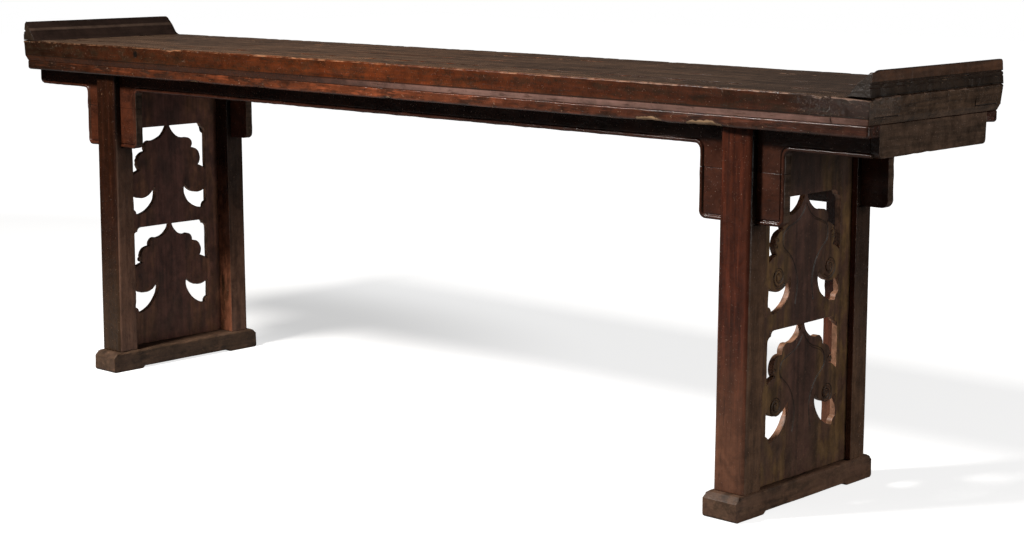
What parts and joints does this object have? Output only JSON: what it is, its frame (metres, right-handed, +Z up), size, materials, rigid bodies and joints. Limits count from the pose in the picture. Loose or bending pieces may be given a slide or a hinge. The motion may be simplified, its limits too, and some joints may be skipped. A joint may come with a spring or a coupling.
{
  "type": "altar table",
  "caption": "Long, narrow wooden altar table with raised, flared end flanges, on trestles with carved openwork panels. The legs are slotted for aprons with rounded spandrels.",
  "frame": {"origin": "on the floor, under the middle of the table", "axes": "+X along the top towards the right end, +Y from the front to the back, +Z up"},
  "size_m": [2.61, 0.478, 0.89],
  "materials": {
    "top_lacquer": "worn dark red-brown lacquer, satin",
    "edge_lacquer": "worn red-brown lacquer, satin",
    "flange_lacquer": "dark brown lacquer, satin",
    "apron_lacquer": "red-brown lacquer, satin, worn at the beads",
    "leg_lacquer": "deep maroon lacquer, satin, chipped at corners",
    "panel_wood": "dark purplish brown, dull, dusty",
    "base_wood": "grey-brown, dull, worn",
    "bare_wood": "bare softwood, dull"
  },
  "bodies": {
    "root": {"back_apron": "apron_lacquer", "back_edge_lath": "edge_lacquer", "back_lath_pegs": "bare_wood", "back_left_inner_spandrel": "apron_lacquer", "back_left_leg": "leg_lacquer", "back_left_outer_spandrel": "apron_lacquer", "back_right_inner_spandrel": "apron_lacquer", "back_right_leg": "leg_lacquer", "back_right_outer_spandrel": "apron_lacquer", "back_top_board": "top_lacquer", "back_top_rail": "top_lacquer", "front_apron": "apron_lacquer", "front_edge_lath": "edge_lacquer", "front_lath_pegs": "bare_wood", "front_left_inner_spandrel": "apron_lacquer", "front_left_leg": "leg_lacquer", "front_left_outer_spandrel": "apron_lacquer", "front_right_inner_spandrel": "apron_lacquer", "front_right_leg": "leg_lacquer", "front_right_outer_spandrel": "apron_lacquer", "front_top_board": "top_lacquer", "front_top_rail": "top_lacquer", "left_base_rail": "base_wood", "left_cross_rail": "bare_wood", "left_end_board": "apron_lacquer", "left_flange": "flange_lacquer", "left_flange_pegs": "bare_wood", "left_openwork_panel": "panel_wood", "left_top_rail": "top_lacquer", "right_base_rail": "base_wood", "right_cross_rail": "bare_wood", "right_end_board": "apron_lacquer", "right_flange": "flange_lacquer", "right_flange_pegs": "bare_wood", "right_openwork_panel": "panel_wood", "right_top_rail": "top_lacquer", "top_batten_1": "bare_wood", "top_batten_2": "bare_wood", "top_batten_3": "bare_wood", "top_batten_4": "bare_wood"}
  },
  "joints": []
}
